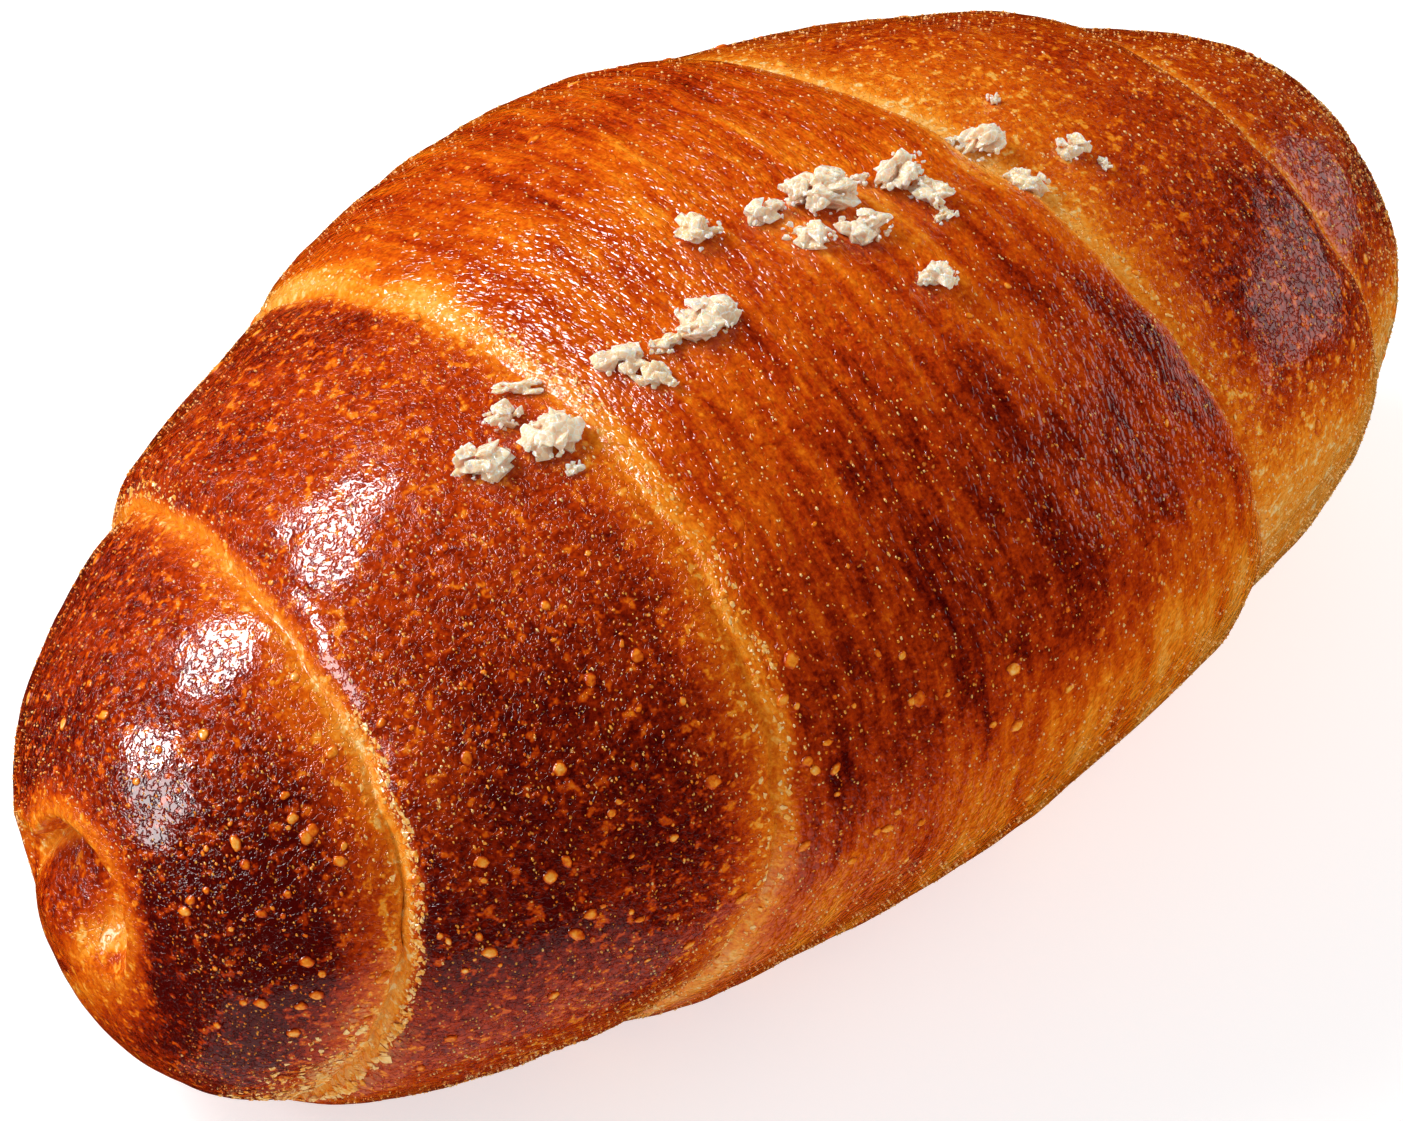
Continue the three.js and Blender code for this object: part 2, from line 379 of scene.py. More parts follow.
# Right at an edge the skin is palest. Share, millimetres past the seam, width, and between which
# degrees it starts or, on the near and far inner edges, turns weaker.
PALE_LIP = (0.5, -0.3, 1.1, (70, 110))
PALE_VALLEY = (1, 0.5, 0.9, (35, 75))
PALE_INNER = (0.75, 0.1, 0.9, (50, 80))
PALE_INNER_WEAKER = 0.45


def turn_browning(name, along, degrees, whole_degrees):
    turn = TURNS[name]
    behind = smoothstep(whole_degrees, *BEHIND_DEGREES)
    like_top = np.maximum(smoothstep(degrees, *TOP_DEGREES), BEHIND_LIKE_TOP * behind)
    level = turn["flank"] + (turn["top"] - turn["flank"]) * like_top
    for place_name, middle, middle_degrees, reach, reach_degrees, browner in BROWNER_PLACES:
        if place_name == name:
            round_share = bump_round(whole_degrees, middle_degrees, reach_degrees)
            level = level + browner * bump_round(along, middle, reach) * round_share
    farther = np.clip(along, -OUTER_REACH, OUTER_REACH) * (name == "outer turn")
    low = turn["low"] + OUTER_SHIFT * farther
    base = turn["base"] - OUTER_PALER * farther
    shown = smoothstep(degrees, low - turn["soft"], low + turn["soft"])
    return base + (level - base) * shown


def browning(along, around):
    degrees = np.degrees(np.arcsin(np.sin(around)))
    outer_past = past_seam(along, 0, around)
    inner_past = past_seam(along, 1, around)
    near = along < 0
    whole_degrees = np.mod(np.degrees(around) + 90, 360) - 90
    in_front = 1 - smoothstep(whole_degrees, *BEHIND_DEGREES)
    turns = {name: turn_browning(name, along, degrees, whole_degrees) for name in TURNS}
    near_level = np.where(inner_past < 0, turns["near turn"], turns["near cap"])
    far_level = np.where(inner_past < 0, turns["far turn"], turns["far cap"])
    level = np.where(outer_past < 0, turns["outer turn"], np.where(near, near_level, far_level))
    level = level - RIDGE_GOLD * ridge_wave(along, around)
    level = level - FAR_PALER * smoothstep(along, *FAR_PALER_ALONG) * (outer_past < 0) * in_front
    pale = 0 * along
    for name, past, here in (
        ("near cap", inner_past, near),
        ("near turn", outer_past, near),
        ("far cap", inner_past, ~near),
        ("far turn", outer_past, ~near),
    ):
        width = np.interp(whole_degrees, STRIP_DEGREES, VALLEY_GOLD[name])
        glow = (1 - smoothstep(past, -VALLEY_HOLD * width, width)) * (past >= 0) * here
        pale = np.maximum(pale, glow)
    for name, past, here in (
        ("near turn", inner_past, near),
        ("near outer turn", outer_past, near),
        ("far turn", inner_past, ~near),
        ("far outer turn", outer_past, ~near),
    ):
        width = np.interp(whole_degrees, STRIP_DEGREES, LIP_GOLD[name])
        glow = (1 - smoothstep(-past, 0, width)) * (past < 0) * here
        pale = np.maximum(pale, glow)
    shown = shown_share(around)
    level = level + (np.minimum(SEAM_GOLD, level) - level) * pale * shown
    share, past, width, between = PALE_LIP
    pale_lip = share * bump_round(outer_past, past, width) * near
    pale_lip = pale_lip * smoothstep(whole_degrees, *between)
    share, past, width, between = PALE_VALLEY
    pale_valley = share * bump_round(outer_past, past, width) * ~near
    pale_valley = pale_valley * smoothstep(whole_degrees, *between)
    share, past, width, between = PALE_INNER
    share = share - PALE_INNER_WEAKER * smoothstep(whole_degrees, *between)
    pale_inner = share * bump_round(inner_past, past, width)
    pale_edge = np.maximum(np.maximum(pale_lip, pale_valley), pale_inner)
    level = level + (SEAM_PALE - level) * PALE_SHARE * pale_edge * shown
    return coil_browning(level, along, around)


# Deep in the coil the dough stayed golden, and the nub that stands up in it browned.
COIL_GOLD = 0.2
NUB_BROWN = 0.8
NUB_LOW = 0.58
NUB_LOW_FROM = (1, 6)
NUB_LEAN = 0.35
NUB_BROWNS = (-3.2, 1.8)
WALL_GOLD = 0.36
WALL_BLEND = 0.6
COIL_BLEND = (0.1, 0.7)
RIM_ORANGE = 0.48
RIM_WIDTH = 3.2


def coil_browning(level, along, around):
    front, up = nose_place(along, around)
    past_rim, inside, below, past_nub = coil_shares(front, up)
    nub = 1 - smoothstep(front - NUB_LEAN * up, *NUB_BROWNS)
    coil_level = COIL_GOLD + (NUB_BROWN - COIL_GOLD) * nub
    coil_level = coil_level + (NUB_LOW - coil_level) * nub * smoothstep(-up, *NUB_LOW_FROM)
    on_wall = smoothstep(past_nub, -WALL_BLEND, WALL_BLEND)
    coil_level = coil_level + (WALL_GOLD - coil_level) * on_wall
    level = level + (coil_level - level) * smoothstep(inside, *COIL_BLEND)
    rim = 1 - smoothstep(past_rim, 0, RIM_WIDTH * (1 + below))
    rim = rim * (past_rim > -COIL_WALL) * (1 - inside)
    return level + (np.minimum(RIM_ORANGE, level) - level) * rim


def set_attribute(mesh, name, values, kind="FLOAT"):
    layer = mesh.attributes.new(name, kind, "POINT")
    layer.data.foreach_set("vector" if kind == "FLOAT_VECTOR" else "value", np.ravel(values))


# Places on the crust measured along the wrap: across the turn, from seam to seam, and round it.
from_middle = np.clip(soft_distance(np.sin(along * math.pi / 2)), 0, 1)
girth = outline(from_middle, of_half(along, TAPER), of_half(along, BLUNTNESS))
girth_length = 0.5 * (WIDTH + HEIGHT) * girth
round_turn = np.mod(around + math.pi / 2, 2 * math.pi) / 2 * girth_length
wrap = np.stack([across_turns(along, around), round_turn, 0 * along], -1) * MM

# Where the skin is dotted beside a seam, and where it is torn: millimetres past the seam and width.
DOTTED = (0.3, 0.9)
TORN_OUTER = (-0.2, 1.3)
TORN_INNER = (1.4, 2.6)
TORN_BELOW = (-0.3, 0.1)
OUTER_BLEND = 1
outer_past = past_seam(along, 0, around)
inner_past = past_seam(along, 1, around)
dotted = np.maximum(bump_round(outer_past, *DOTTED), bump_round(inner_past, *DOTTED))
torn = np.maximum(bump_round(outer_past, *TORN_OUTER), bump_round(inner_past, *TORN_INNER))
torn = torn * (1 - smoothstep(np.sin(around), *TORN_BELOW))
set_attribute(crust.data, "bake", browning(along, around))
set_attribute(crust.data, "flaky", torn * shown_share(around))
set_attribute(crust.data, "seam", dotted * shown_share(around))
set_attribute(crust.data, "outer", 1 - smoothstep(outer_past, -OUTER_BLEND, OUTER_BLEND))
set_attribute(crust.data, "wrap", wrap, "FLOAT_VECTOR")

# The dough rose unevenly: soft swells all over, and a finer unevenness of the skin, each with its
# size and height in millimetres. The pressed base stays flat.
SWELLS = (("swells", 16, 0.9), ("uneven skin", 4, 0.3))
OFF_TRAY = (0.2, 5)

resting = crust.vertex_groups.new(name="off the tray")
heights = read_rows(crust.data.vertices, "co")[:, 2] / MM
freedom = np.round(smoothstep(heights, *OFF_TRAY), 2)
for weight in np.unique(freedom):
    resting.add(np.flatnonzero(freedom == weight).tolist(), float(weight), "REPLACE")
for name, size, rise in SWELLS:
    texture = bpy.data.textures.new(name, "CLOUDS")
    texture.noise_scale = size * MM
    texture.noise_depth = 1
    modifier = crust.modifiers.new(name, "DISPLACE")
    modifier.texture = texture
    modifier.texture_coords = "LOCAL"
    modifier.strength = rise * MM
    modifier.mid_level = 0.5
    modifier.vertex_group = "off the tray"
    bpy.context.view_layer.objects.active = crust
    bpy.ops.object.modifier_apply(modifier=name)
bpy.ops.object.shade_smooth()

# Its finish: browned and glossy from egg wash and butter, with pale dots where tiny bubbles broke
# through, fine streaks along the wrap of the outer turn and wrinkles that break up the shine.
CREAM = (0.95, 0.62, 0.25, 1)
PALE_GOLD = (0.92, 0.42, 0.07, 1)
GOLD = (0.9, 0.26, 0.012, 1)
ORANGE_BROWN = (0.7, 0.11, 0.003, 1)
CHESTNUT = (0.46, 0.036, 0.002, 1)
BROWN = (0.21, 0.01, 0.001, 1)
DARK_BROWN = (0.07, 0.002, 0.001, 1)
BROWNING_COLOURS = (
    (0.0, CREAM),
    (0.16, PALE_GOLD),
    (0.34, GOLD),
    (0.52, ORANGE_BROWN),
    (0.7, CHESTNUT),
    (0.86, BROWN),
    (1.0, DARK_BROWN),
)
# Patterns, in repeats to the metre, and how much each moves the browning: first everywhere, then
# how much more or less it does so on the outer turn.
PATCHES, PATCHES_MOVE = 150, 0.3
MOTTLE, MOTTLE_MOVES, MOTTLE_OUTER = 1150, 0.6, -0.25
GRAIN, GRAIN_MOVES = 3200, 0.36
BLOTCHES, BLOTCHES_MOVE, BLOTCHES_OUTER, BLOTCH_EDGE = 1000, -0.34, 0.24, (0.54, 0.7)
STREAKS, BROAD_STREAKS, STREAKS_MOVE, STREAKS_OUTER = 1300, 330, 0.16, 0.4
STREAK_DRAWN = (1, 0.12, 1)
# Dots where bubbles broke through, and the plates of the torn skin.
SHAKEN, SHAKEN_BY = 2000, 0.5
DOTS, DOT_SPREAD, DOT_LEAST, DOT_BY_SEAM, DOT_EDGE, DOT_SHOWS = 2100, 0.46, -0.12, 0.06, 0.16, 0.7
PLATES, PLATE_GAP, PLATE_PATCHES, PLATE_SHOWS = 1000, (0.04, 0.14), (0.4, 0.6), 0.6
# The wrinkled skin: on the outer turn it is pebbled, and drawn out along the wrap.
WRINKLES, DRAWN_WRINKLES, FURROW, FURROW_DEPTH, WRINKLE_DEPTH = 1500, 1200, 0.06, 0.5, 0.6
PEBBLES, PEBBLE_HEIGHT, PEBBLES_DRAWN = 3000, 1.5, (1, 0.42, 1)
SKIN_RELIEF = 0.085
SKIN_ROUGHNESS = (0.6, 0.5)
ROUGHNESS_LEVELS = (0.2, 0.75)
GLAZE_IOR = 1.7
GLAZE_ROUGHNESS = 0.05


def add_node(tree, kind, sockets=None, **settings):
    node = tree.nodes.new(kind)
    for name, value in settings.items():
        setattr(node, name, value)
    for name, value in (sockets or {}).items():
        if isinstance(value, bpy.types.NodeSocket):
            tree.links.new(value, node.inputs[name])
        else:
            node.inputs[name].default_value = value
    return node


def mix_colours(tree, share, under, over):
    node = add_node(tree, "ShaderNodeMix", {0: share, 6: under, 7: over}, data_type="RGBA")
    return node.outputs[2]


def calculate(tree, operation, first, second=0.0, third=0.0, clamp=False):
    sockets = {0: first, 1: second, 2: third}
    node = add_node(tree, "ShaderNodeMath", sockets, operation=operation, use_clamp=clamp)
    return node.outputs[0]


def remap(tree, value, low, high, to_low=0.0, to_high=1.0):
    sockets = {"Value": value, "From Min": low, "From Max": high}
    sockets |= {"To Min": to_low, "To Max": to_high}
    node = add_node(tree, "ShaderNodeMapRange", sockets, interpolation_type="SMOOTHSTEP")
    return node.outputs["Result"]


def colour_ramp(tree, share, stops):
    node = add_node(tree, "ShaderNodeValToRGB", {"Fac": share})
    elements = node.color_ramp.elements
    while len(elements) < len(stops):
        elements.new(0.5)
    for element, (place, colour) in zip(elements, stops):
        element.position = place
        element.color = colour
    return node.outputs["Color"]


def noise(tree, vector, scale, detail=2.0, roughness=0.5):
    sockets = {"Vector": vector, "Scale": scale, "Detail": detail, "Roughness": roughness}
    return add_node(tree, "ShaderNodeTexNoise", sockets).outputs["Fac"]


def cells(tree, vector, scale, feature="F1"):
    sockets = {"Vector": vector, "Scale": scale, "Randomness": 1.0}
    return add_node(tree, "ShaderNodeTexVoronoi", sockets, feature=feature).outputs


def stretch(tree, vector, scale):
    sockets = {"Vector": vector, "Scale": scale}
    return add_node(tree, "ShaderNodeMapping", sockets).outputs["Vector"]


def attribute(tree, name, output="Fac"):
    return add_node(tree, "ShaderNodeAttribute", attribute_name=name).outputs[output]


def object_place(tree):
    return add_node(tree, "ShaderNodeTexCoord").outputs["Object"]


# Moves a level up and down by a pattern that lies evenly round a half.
def vary(tree, level, pattern, share, clamp=False):
    above = calculate(tree, "SUBTRACT", pattern, 0.5)
    return calculate(tree, "MULTIPLY_ADD", above, share, level, clamp)


def relief_normal(tree, height, depth):
    sockets = {"Height": height, "Strength": 1.0, "Distance": depth * MM}
    return add_node(tree, "ShaderNodeBump", sockets).outputs["Normal"]


def new_material(name):
    material = bpy.data.materials.new(name)
    material.use_nodes = True
    return material, material.node_tree, material.node_tree.nodes["Principled BSDF"]


# Under the glaze the crust itself is matt.
def glaze(shader, roughness):
    shader.inputs["Specular IOR Level"].default_value = 0.0
    shader.inputs["Coat Weight"].default_value = 1.0
    shader.inputs["Coat Roughness"].default_value = roughness
    shader.inputs["Coat IOR"].default_value = GLAZE_IOR


crust_material, tree, shader = new_material("glazed crust")
place = object_place(tree)
bake = attribute(tree, "bake")
seam = attribute(tree, "seam")
outer = attribute(tree, "outer")
flaky = attribute(tree, "flaky")
wrap_place = attribute(tree, "wrap", "Vector")

patches = noise(tree, place, PATCHES, 3)
level = vary(tree, bake, patches, PATCHES_MOVE)
mottle_share = calculate(tree, "MULTIPLY_ADD", outer, MOTTLE_OUTER, MOTTLE_MOVES)
level = vary(tree, level, noise(tree, place, MOTTLE, 4, 0.65), mottle_share)
level = vary(tree, level, noise(tree, place, GRAIN, 2), GRAIN_MOVES)
blotches = remap(tree, noise(tree, place, BLOTCHES, 2, 0.6), *BLOTCH_EDGE)
blotch_share = calculate(tree, "MULTIPLY_ADD", outer, BLOTCHES_OUTER, BLOTCHES_MOVE)
level = calculate(tree, "MULTIPLY_ADD", blotches, blotch_share, level)
stretched = stretch(tree, wrap_place, STREAK_DRAWN)
streak_share = calculate(tree, "MULTIPLY_ADD", outer, STREAKS_OUTER, STREAKS_MOVE)
level = vary(tree, level, noise(tree, stretched, STREAKS, 3, 0.6), streak_share)
level = vary(tree, level, noise(tree, stretched, BROAD_STREAKS, 2), streak_share)
colour = colour_ramp(tree, level, BROWNING_COLOURS)

shaken = {"Vector": place, "Scale": SHAKEN, "Detail": 1.0}
shaken = add_node(tree, "ShaderNodeTexNoise", shaken).outputs["Color"]
shaken = {0: shaken, 1: (SHAKEN_BY * MM,) * 3, 2: place}
shaken_place = add_node(tree, "ShaderNodeVectorMath", shaken, operation="MULTIPLY_ADD")
shaken_place = shaken_place.outputs["Vector"]
dots = cells(tree, shaken_place, DOTS)
dot_draw = add_node(tree, "ShaderNodeSeparateColor", {"Color": dots["Color"]})
dot_size = calculate(tree, "MULTIPLY_ADD", dot_draw.outputs["Red"], DOT_SPREAD, DOT_LEAST)
dot_size = calculate(tree, "MULTIPLY_ADD", seam, DOT_BY_SEAM, dot_size)
dot = remap(tree, calculate(tree, "SUBTRACT", dot_size, dots["Distance"]), 0.0, DOT_EDGE)
dot_colour = mix_colours(tree, dot_draw.outputs["Green"], ORANGE_BROWN, PALE_GOLD)
colour = mix_colours(tree, calculate(tree, "MULTIPLY", dot, DOT_SHOWS), colour, dot_colour)

plates = cells(tree, shaken_place, PLATES, "DISTANCE_TO_EDGE")["Distance"]
plate = calculate(tree, "MULTIPLY", remap(tree, plates, *PLATE_GAP), flaky)
plate = calculate(tree, "MULTIPLY", plate, remap(tree, patches, *PLATE_PATCHES))
colour = mix_colours(tree, calculate(tree, "MULTIPLY", plate, PLATE_SHOWS), colour, CREAM)


def wrinkled(tree, vector, scale):
    wrinkles = noise(tree, vector, scale, 2)
    furrow = calculate(tree, "ABSOLUTE", calculate(tree, "SUBTRACT", wrinkles, 0.5))
    furrow = remap(tree, furrow, 0.0, FURROW)
    wrinkles = calculate(tree, "MULTIPLY", wrinkles, WRINKLE_DEPTH)
    return calculate(tree, "MULTIPLY_ADD", furrow, FURROW_DEPTH, wrinkles)


plain_skin = wrinkled(tree, place, WRINKLES)
drawn_place = stretch(tree, wrap_place, PEBBLES_DRAWN)
drawn_skin = wrinkled(tree, drawn_place, DRAWN_WRINKLES)
from_pebble = cells(tree, drawn_place, PEBBLES)["Distance"]
pebbles = calculate(tree, "MULTIPLY", from_pebble, from_pebble)
drawn_skin = calculate(tree, "MULTIPLY_ADD", pebbles, -PEBBLE_HEIGHT, drawn_skin)
skin = add_node(tree, "ShaderNodeMix", {0: outer, 2: plain_skin, 3: drawn_skin}).outputs[0]
normal = relief_normal(tree, skin, SKIN_RELIEF)
roughness = remap(tree, level, *ROUGHNESS_LEVELS, *SKIN_ROUGHNESS)

tree.links.new(colour, shader.inputs["Base Color"])
tree.links.new(roughness, shader.inputs["Roughness"])
tree.links.new(normal, shader.inputs["Normal"])
tree.links.new(normal, shader.inputs["Coat Normal"])
glaze(shader, GLAZE_ROUGHNESS)
crust.data.materials.append(crust_material)

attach(crust, "root")
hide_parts("roll")


# Blisters: gas bubbles that rose under the skin while the dough proved and set as thin domes.
# They are part of the crust, amber and paler than it, and thickest low on the near turns.
BLISTER_SEED = 5
BLISTER_COUNT = 620
BLISTER_RADIUS = (0.15, 0.68)
BLISTER_SMALLNESS = 3.5
BLISTER_RISE = 0.36
BLISTER_UNEVEN = 0.3
BLISTER_SQUEEZE = (0.75, 1.3)
BLISTER_ALONG = (-0.8, 0.8)
BLISTER_DEGREES = (-40, 220)
BLISTER_FLANK = (-0.3, 0.88)
BLISTER_NEAR_END = -0.1
# Chance of a blister anywhere, more on the flanks, and more again on the near end's front.
BLISTER_CHANCE = 0.1
BLISTER_CHANCE_FLANK = 0.25
BLISTER_CHANCE_NEAR = 0.65
BLISTER_TINT = (0.18, 0.5)
BLISTER_PALE_DOME = (0.1, 0.9)
SPECKLES, SPECKLES_MOVE, SPECKLE_RELIEF = 2400, 0.9, 0.03
BLISTER_ROUGHNESS = 0.5
BLISTER_GLAZE_ROUGHNESS = 0.1

random = np.random.default_rng(BLISTER_SEED)
crust_surface = BVHTree.FromObject(crust, bpy.context.evaluated_depsgraph_get())
bpy.ops.object.select_all(action="DESELECT")
bpy.ops.mesh.primitive_ico_sphere_add(subdivisions=2, radius=1)
dome = bpy.context.object
dome_points = np.array([vertex.co for vertex in dome.data.vertices])
dome_faces = np.array([polygon.vertices for polygon in dome.data.polygons])
bpy.data.objects.remove(dome)


def join_arrays(name, groups):
    points = np.concatenate([group[0] for group in groups])
    starts = np.cumsum([0] + [len(group[0]) for group in groups[:-1]])
    faces = np.concatenate([group[1] + start for group, start in zip(groups, starts)])
    mesh = bpy.data.meshes.new(name)
    mesh.from_pydata(points.tolist(), [], faces.tolist())
    piece = bpy.data.objects.new(name, mesh)
    bpy.context.scene.collection.objects.link(piece)
    return piece


def within(limits, share):
    return limits[0] + (limits[1] - limits[0]) * share


blister_groups = []
blister_tints = []
while len(blister_groups) < BLISTER_COUNT:
    spot_along = random.uniform(*BLISTER_ALONG)
    spot_around = math.radians(random.uniform(*BLISTER_DEGREES))
    low_flank = BLISTER_FLANK[0] < math.sin(spot_around) < BLISTER_FLANK[1]
    near_front = math.cos(spot_around) > 0 and spot_along < BLISTER_NEAR_END
    wanted = BLISTER_CHANCE
    wanted += low_flank * (BLISTER_CHANCE_FLANK + BLISTER_CHANCE_NEAR * near_front)
    size = random.random()
    lumps = 1 + BLISTER_UNEVEN * (random.random((len(dome_points), 1)) - 0.5)
    turn = Matrix.Rotation(random.uniform(0, 2 * math.pi), 4, "Z")
    tint = within(BLISTER_TINT, random.random())
    squeeze = random.uniform(*BLISTER_SQUEEZE)
    if random.random() > wanted:
        continue
    loaf = loaf_point(np.array([spot_along]), np.array([spot_around]))[0] * MM
    spot, normal, _, _ = crust_surface.find_nearest(Vector(loaf))
    radius = within(BLISTER_RADIUS, size**BLISTER_SMALLNESS) * MM
    shape = Matrix.Diagonal((radius * squeeze, radius / squeeze, radius * BLISTER_RISE, 1))
    upright = normal.to_track_quat("Z", "Y").to_matrix().to_4x4()
    stand = np.array(Matrix.Translation(spot) @ upright @ turn @ shape)
    blister_groups.append((dome_points * lumps @ stand[:3, :3].T + stand[:3, 3], dome_faces))
    local = browning(np.array([spot_along]), np.array([spot_around]))[0]
    domed = smoothstep(dome_points[:, 2], *BLISTER_PALE_DOME)
    blister_tints.append(local + (tint - local) * domed)
blisters = join_arrays("blisters", blister_groups)
set_attribute(blisters.data, "tint", np.concatenate(blister_tints))
blisters.select_set(True)
bpy.context.view_layer.objects.active = blisters
bpy.ops.object.shade_smooth()

blister_material, tree, shader = new_material("blister skin")
speckle = noise(tree, object_place(tree), SPECKLES, 3)
level = vary(tree, attribute(tree, "tint"), speckle, SPECKLES_MOVE, clamp=True)
colour = colour_ramp(tree, level, BROWNING_COLOURS)
tree.links.new(colour, shader.inputs["Base Color"])
tree.links.new(relief_normal(tree, speckle, SPECKLE_RELIEF), shader.inputs["Normal"])
shader.inputs["Roughness"].default_value = BLISTER_ROUGHNESS
glaze(shader, BLISTER_GLAZE_ROUGHNESS)
blisters.data.materials.append(blister_material)

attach(blisters, "root")
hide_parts("roll")


# Pinhead bubbles: the same gas, in thousands of tiny hard beads all over the skin.
# They are pale gold and shiny, and each catches a point of light; their paleness is partly their
# own colour and partly a painted highlight standing in for glints.
PINHEAD_COUNT = 17000
PINHEAD_SIDES = 5
PINHEAD_RADIUS = (0.065, 0.15)
PINHEAD_LONGER = 1.2
PINHEAD_RISE = 0.8
PINHEAD_TALL = 1.3
PINHEAD_LIFT = 0.4
PINHEAD_ALONG = (-0.84, 0.84)
PINHEAD_DEGREES = (-55, 235)
# Chance of a bead on the far half, more on the near half and fewer on the near end.
PINHEAD_CHANCE = 0.8
PINHEAD_NEAR, PINHEAD_CHANCE_NEAR = -0.05, 0.2
PINHEAD_END, PINHEAD_CHANCE_END = -0.5, -0.45
PINHEAD_PALER_AND_GLINT = (0.42, 0.87)
PINHEAD_DARKEST = 0.5

bpy.ops.object.select_all(action="DESELECT")
bpy.ops.mesh.primitive_cone_add(
    vertices=PINHEAD_SIDES, radius1=1, radius2=0, depth=PINHEAD_TALL, end_fill_type="TRIFAN"
)
bead = bpy.context.object
bead_points = np.array([vertex.co for vertex in bead.data.vertices]) + (0, 0, PINHEAD_LIFT)
bead_faces = np.array([polygon.vertices for polygon in bead.data.polygons])
bpy.data.objects.remove(bead)

tries = 3 * PINHEAD_COUNT
spot_along = random.uniform(*PINHEAD_ALONG, tries)
spot_around = np.radians(random.uniform(*PINHEAD_DEGREES, tries))
wanted = PINHEAD_CHANCE + PINHEAD_CHANCE_NEAR * (spot_along < PINHEAD_NEAR)
wanted = wanted + PINHEAD_CHANCE_END * (spot_along < PINHEAD_END)
kept = np.flatnonzero(random.random(tries) < wanted)[:PINHEAD_COUNT]
spot_along, spot_around = spot_along[kept], spot_around[kept]
loaf = loaf_point(spot_along, spot_around) * MM
radii = within(PINHEAD_RADIUS, random.random(PINHEAD_COUNT) ** 2) * MM
lengths = radii * (1 + PINHEAD_LONGER * random.random(PINHEAD_COUNT) ** 2)
# Each bead is paler than the crust beneath it: partly its own colour, partly a painted highlight
# for its glint.
tints = browning(spot_along, spot_around) - within(PINHEAD_PALER_AND_GLINT, random.random(PINHEAD_COUNT))
tints = np.clip(tints, 0, PINHEAD_DARKEST)
bead_groups = []
for point, radius, length in zip(loaf, radii, lengths):
    spot, normal, _, _ = crust_surface.find_nearest(Vector(point))
    round_roll = normal.cross(Vector((1, 0, 0))).normalized()
    lie = np.array((round_roll, normal.cross(round_roll), normal))
    shape = bead_points * (length, radius, radius * PINHEAD_RISE)
    bead_groups.append((shape @ lie + np.array(spot), bead_faces))
pinheads = join_arrays("pinheads", bead_groups)
set_attribute(pinheads.data, "tint", np.repeat(tints, len(bead_points)))
pinheads.select_set(True)
bpy.context.view_layer.objects.active = pinheads
bpy.ops.object.shade_smooth()
pinheads.data.materials.append(blister_material)

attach(pinheads, "root")
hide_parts("roll")


# Torn skin: where the turns pulled apart in the oven, the skin broke into small angular flakes.
# They stayed pale, lie along the seams and are largest low on the near end.
FLAKE_SEED = 23
FLAKE_CORNERS = 8
FLAKE_WIDE = (0.5, 0.9)
FLAKE_THICK = 0.3
FLAKE_THICKER = (0.7, 1.3)
FLAKE_SUNK = 0.1
FLAKE_NEARNESS = 1.5
FLAKE_SMALLNESS = 1.4
FLAKE_TURN = 0.4
FLAKE_DARKEST = 0.24
# Half of the roll, seam, degrees round the front, millimetres past the seam, size and count.
FLAKES = (
    (-1, 1, (-62, -12), (-0.7, 2.4), (0.3, 0.9), 130),
    (-1, 1, (-62, -12), (1, 9), (0.2, 0.5), 150),
    (-1, 1, (-14, 62), (-1.2, 0.7), (0.14, 0.42), 300),
    (-1, 0, (30, 100), (-1.5, 0.2), (0.13, 0.32), 240),
    (-1, 0, (-50, 30), (-0.6, 1.4), (0.16, 0.45), 140),
    (-1, 0, (-60, -28), (2, 20), (0.15, 0.4), 110),
    (1, 0, (-45, 100), (0, 1.2), (0.13, 0.35), 180),
    (1, 1, (-40, 90), (-0.2, 0.8), (0.12, 0.3), 90),
)
BEHIND_SHARE = 0.6
HALF_WAY = 0.5
SEAM_STEP = 0.02

random = np.random.default_rng(FLAKE_SEED)


# A chip is the hull of a few corners scattered over a ball, so it has flat uneven facets.
def chip_hull(corners):
    hull = bmesh.new()
    for corner in corners:
        hull.verts.new(corner)
    bmesh.ops.convex_hull(hull, input=hull.verts)
    inside = [vertex for vertex in hull.verts if not vertex.link_faces]
    bmesh.ops.delete(hull, geom=inside, context="VERTS")
    bmesh.ops.recalc_face_normals(hull, faces=hull.faces)
    hull.verts.index_update()
    points = np.array([vertex.co for vertex in hull.verts])
    faces = np.array([[vertex.index for vertex in face.verts] for face in hull.faces])
    hull.free()
    return points, faces


def on_ball(count):
    corners = random.normal(size=(count, 3))
    return corners / np.linalg.norm(corners, axis=1, keepdims=True)


flake_groups = []
flake_tints = []
for half, seam_turn, degrees, past_range, sizes, count in FLAKES:
    for number in range(int(count * (1 + BEHIND_SHARE))):
        spot_around = math.radians(random.uniform(*degrees))
        if number >= count:
            spot_around = math.pi - spot_around
        past = within(past_range, random.random() ** FLAKE_NEARNESS)
        steps = spot_around + np.array((0, -SEAM_STEP, SEAM_STEP))
        edges = seam_distance(np.full(3, half * HALF_WAY), seam_turn, steps)
        loaf = loaf_point(half * (edges[:1] + past / HALF_CRUST), steps[:1])[0] * MM
        spot, normal, _, _ = crust_surface.find_nearest(Vector(loaf))
        size = within(sizes, random.random() ** FLAKE_SMALLNESS)
        wide = random.uniform(*FLAKE_WIDE)
        thick = FLAKE_THICK * random.uniform(*FLAKE_THICKER)
        before, after = loaf_point(half * edges[1:], steps[1:])
        across = Vector(after - before).cross(normal).normalized()
        lie = Matrix((across, normal.cross(across), normal)).transposed()
        lie = lie @ Matrix.Rotation(random.normal(0, FLAKE_TURN), 3, "Z")
        points, faces = chip_hull(on_ball(FLAKE_CORNERS) * (size * wide, size, size * thick))
        points[:, 2] += size * thick * FLAKE_SUNK
        flake_groups.append((points @ np.array(lie).T * MM + np.array(spot), faces))
        flake_tints.append(np.full(len(points), FLAKE_DARKEST * random.random()))
flakes = join_arrays("flakes", flake_groups)
set_attribute(flakes.data, "tint", np.concatenate(flake_tints))
